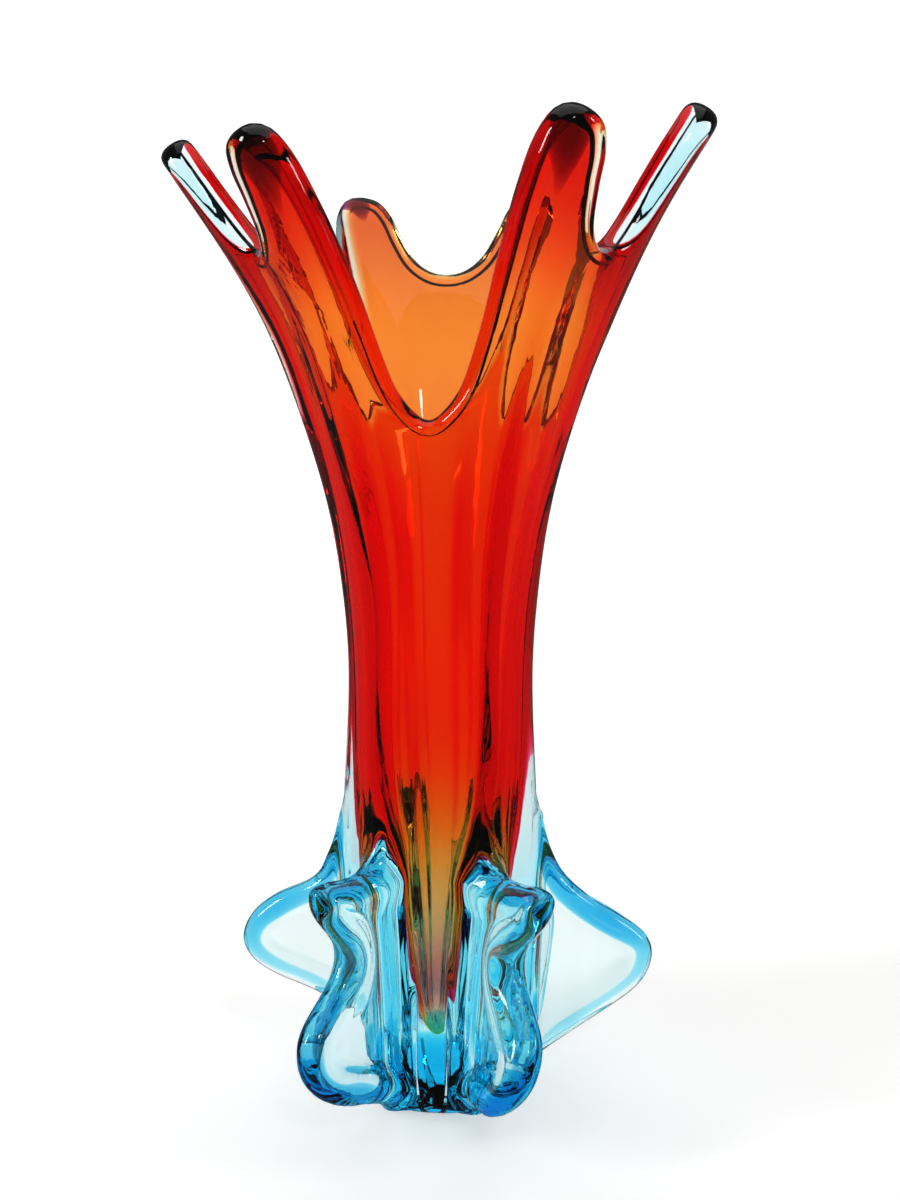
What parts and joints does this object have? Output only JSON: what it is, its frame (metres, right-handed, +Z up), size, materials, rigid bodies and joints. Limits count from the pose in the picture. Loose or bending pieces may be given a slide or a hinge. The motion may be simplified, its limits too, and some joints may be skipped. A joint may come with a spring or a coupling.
{
  "type": "art glass vase",
  "caption": "Tall waisted vase of thick layered glass, amber and ruby inside an aqua casing, with a rim drawn into fingers and pulled fins round the base.",
  "frame": {"origin": "centre of the ground foot, on the surface it stands on", "axes": "+Z up the axis of the vase, -Y towards the widest front notch of the rim, +X to the right seen from the front"},
  "size_m": [0.2156, 0.194, 0.399],
  "materials": {
    "aqua_glass": "fire-polished clear aqua glass",
    "ruby_glass": "transparent ruby glass",
    "amber_glass": "transparent amber glass"
  },
  "bodies": {
    "root": {"amber_lining": "amber_glass", "ruby_overlay": "ruby_glass", "aqua_casing": "aqua_glass", "foot_pad": "aqua_glass", "fin_front_left": "aqua_glass", "fin_front_right": "aqua_glass", "fin_right": "aqua_glass", "fin_back_right": "aqua_glass", "fin_back_left": "aqua_glass", "fin_left": "aqua_glass"}
  },
  "joints": []
}
